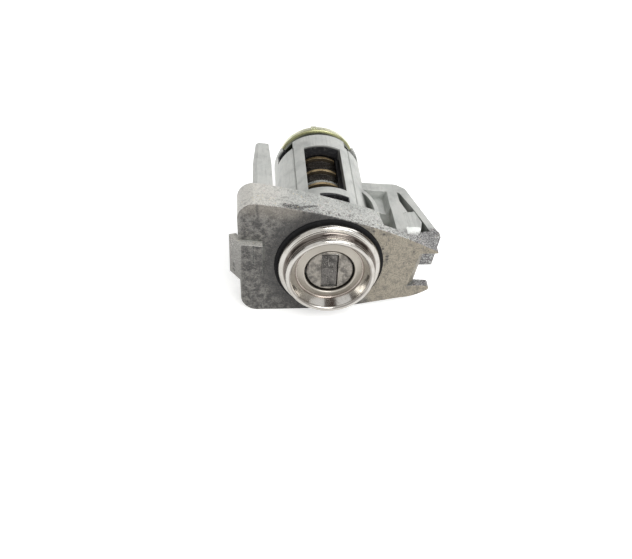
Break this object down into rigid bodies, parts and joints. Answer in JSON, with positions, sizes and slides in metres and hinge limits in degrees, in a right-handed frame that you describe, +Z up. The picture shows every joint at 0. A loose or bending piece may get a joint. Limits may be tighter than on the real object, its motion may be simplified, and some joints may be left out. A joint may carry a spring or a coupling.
{
  "type": "door lock cylinder",
  "caption": "Door lock cylinder: key plug with wafers and dust shutter in a clutch sleeve, zinc barrel with tray flange and bracket, bezel ring and drive tail.",
  "frame": {"origin": "on the lock axis, in the flange's front face", "axes": "-Y out of the key's side along the lock axis, +Y back towards the drive tail, +Z up in the door, +X towards the notched end of the flange"},
  "size_m": [0.0525, 0.0633, 0.032],
  "materials": {
    "zinc": "as-cast zinc alloy, dull with stains",
    "plug_zinc": "die-cast zinc alloy, satin",
    "bezel": "bright nickel, lightly hazed",
    "seal": "matt black",
    "face": "worn, tan stained",
    "shutter": "grey, worn",
    "spring_steel": "bright wire and strip",
    "sleeve": "black oxide, oiled",
    "wafer": "dull brass",
    "cap": "yellow passivated"
  },
  "bodies": {
    "carrier": {"lock_carrier": "zinc", "bezel_ring": "bezel", "bezel_seal": "seal", "rear_cap": "cap", "return_spring": "spring_steel"},
    "plug": {"key_plug": "plug_zinc", "plug_face": "face", "shutter_pin": "spring_steel", "shutter_spring": "spring_steel", "plug_clip": "spring_steel", "wafer_spring_1": "spring_steel", "wafer_spring_2": "spring_steel", "wafer_spring_3": "spring_steel", "wafer_spring_4": "spring_steel", "wafer_spring_5": "spring_steel", "wafer_spring_6": "spring_steel", "wafer_spring_7": "spring_steel", "wafer_spring_8": "spring_steel"},
    "sleeve": {"clutch_sleeve": "sleeve"},
    "tail": {"tail_drive": "plug_zinc", "tail_clip": "spring_steel"},
    "shutter": {"key_shutter": "shutter"},
    "wafer_1": {"wafer_1": "wafer"},
    "wafer_2": {"wafer_2": "wafer"},
    "wafer_3": {"wafer_3": "wafer"},
    "wafer_4": {"wafer_4": "wafer"},
    "wafer_5": {"wafer_5": "wafer"},
    "wafer_6": {"wafer_6": "wafer"},
    "wafer_7": {"wafer_7": "wafer"},
    "wafer_8": {"wafer_8": "wafer"}
  },
  "joints": [
    {"name": "plug_turn", "type": "hinge", "parent": "carrier", "child": "plug", "pos_m": [0, 0, 0], "axis": [0, 1, 0], "range_deg": [-75, 75], "stiffness_Nm_per_rad": 0.05, "deforming": ["return_spring"]},
    {"name": "sleeve_turn", "type": "hinge", "parent": "carrier", "child": "sleeve", "pos_m": [0, 0, 0], "axis": [0, 1, 0], "range_deg": [-75, 75]},
    {"name": "tail_turn", "type": "hinge", "parent": "carrier", "child": "tail", "pos_m": [0, 0, 0], "axis": [0, 1, 0], "range_deg": [-75, 75]},
    {"name": "shutter_swing", "type": "hinge", "parent": "plug", "child": "shutter", "pos_m": [0, -0.0016, 0.00415], "axis": [1, 0, 0], "range_deg": [0, 78], "stiffness_Nm_per_rad": 0.0003, "springref_deg": -28.65, "deforming": ["shutter_spring"]},
    {"name": "wafer_1_slide", "type": "slide", "parent": "plug", "child": "wafer_1", "axis": [0, 0, 1], "range_m": [-0.00085, 0], "stiffness_N_per_m": 200, "springref_m": 0.001, "deforming": ["wafer_spring_1"]},
    {"name": "wafer_2_slide", "type": "slide", "parent": "plug", "child": "wafer_2", "axis": [0, 0, 1], "range_m": [0, 0.00085], "stiffness_N_per_m": 200, "springref_m": -0.001, "deforming": ["wafer_spring_2"]},
    {"name": "wafer_3_slide", "type": "slide", "parent": "plug", "child": "wafer_3", "axis": [0, 0, 1], "range_m": [-0.00085, 0], "stiffness_N_per_m": 200, "springref_m": 0.001, "deforming": ["wafer_spring_3"]},
    {"name": "wafer_4_slide", "type": "slide", "parent": "plug", "child": "wafer_4", "axis": [0, 0, 1], "range_m": [0, 0.00085], "stiffness_N_per_m": 200, "springref_m": -0.001, "deforming": ["wafer_spring_4"]},
    {"name": "wafer_5_slide", "type": "slide", "parent": "plug", "child": "wafer_5", "axis": [0, 0, 1], "range_m": [-0.00085, 0], "stiffness_N_per_m": 200, "springref_m": 0.001, "deforming": ["wafer_spring_5"]},
    {"name": "wafer_6_slide", "type": "slide", "parent": "plug", "child": "wafer_6", "axis": [0, 0, 1], "range_m": [0, 0.00085], "stiffness_N_per_m": 200, "springref_m": -0.001, "deforming": ["wafer_spring_6"]},
    {"name": "wafer_7_slide", "type": "slide", "parent": "plug", "child": "wafer_7", "axis": [0, 0, 1], "range_m": [-0.00085, 0], "stiffness_N_per_m": 200, "springref_m": 0.001, "deforming": ["wafer_spring_7"]},
    {"name": "wafer_8_slide", "type": "slide", "parent": "plug", "child": "wafer_8", "axis": [0, 0, 1], "range_m": [0, 0.00085], "stiffness_N_per_m": 200, "springref_m": -0.001, "deforming": ["wafer_spring_8"]}
  ],
  "couplings": [
    {"joint": "sleeve_turn", "follows": "plug_turn", "ratio": 1},
    {"joint": "tail_turn", "follows": "plug_turn", "ratio": 1}
  ]
}
